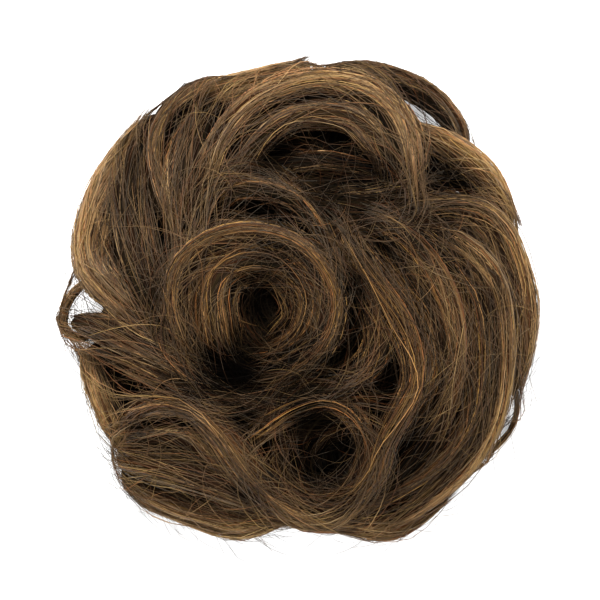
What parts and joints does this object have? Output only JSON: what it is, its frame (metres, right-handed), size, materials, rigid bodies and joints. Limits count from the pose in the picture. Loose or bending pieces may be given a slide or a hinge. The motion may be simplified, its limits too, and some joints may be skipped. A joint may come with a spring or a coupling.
{
  "type": "top knot hairpiece",
  "caption": "Messy-bun hairpiece of brown curled and swept locks over a bed of hair on an elastic loop that slips round a ponytail.",
  "frame": {"origin": "on the plane of the side that sits on the head, under the middle of the outline seen from above", "axes": "+Z away from the head, +Y to the top of the view from above, +X to the right of that view"},
  "size_m": [0.1412, 0.1404, 0.0552],
  "materials": {
    "hair_golden": "golden brown false hair, soft sheen along the strands",
    "hair_chestnut": "chestnut brown false hair, soft sheen along the strands",
    "hair_umber": "dark brown false hair, matt in the hollows",
    "elastic": "black knitted elastic",
    "weft": "black sewn weft tape"
  },
  "bodies": {
    "root": {"elastic_loop": "elastic", "weft_band": "weft", "hair_bed": "hair_umber", "centre_curl_outer": "hair_golden", "centre_curl_inner": "hair_chestnut", "centre_curl_core": "hair_umber", "diagonal_sweep": "hair_golden", "s_sweep": "hair_golden", "lower_curl": "hair_umber", "top_arch_outer": "hair_golden", "top_arch_inner": "hair_chestnut", "crown_roll": "hair_chestnut", "curl_wrap": "hair_umber", "left_tail": "hair_chestnut", "left_fan": "hair_golden", "upper_left_crest": "hair_chestnut", "left_inner_lock": "hair_chestnut", "right_band_upper": "hair_chestnut", "right_band_slip": "hair_umber", "right_band_middle": "hair_umber", "right_band_outer": "hair_golden", "top_right_band": "hair_golden", "right_crest": "hair_golden", "arch_under": "hair_chestnut", "lower_left_leaf": "hair_chestnut", "left_tail_lower": "hair_umber", "left_outer_lock": "hair_golden", "lower_left_outer": "hair_golden", "bottom_lock": "hair_chestnut", "top_right_rim": "hair_chestnut", "top_back_lock": "hair_golden", "lower_left_back": "hair_chestnut", "hollow_lock_front": "hair_umber", "hollow_lock_back": "hair_umber", "right_hollow_lock": "hair_umber", "lower_right_core": "hair_umber", "lower_curl_core": "hair_umber", "left_loop": "hair_golden", "right_loop": "hair_golden"}
  },
  "joints": []
}
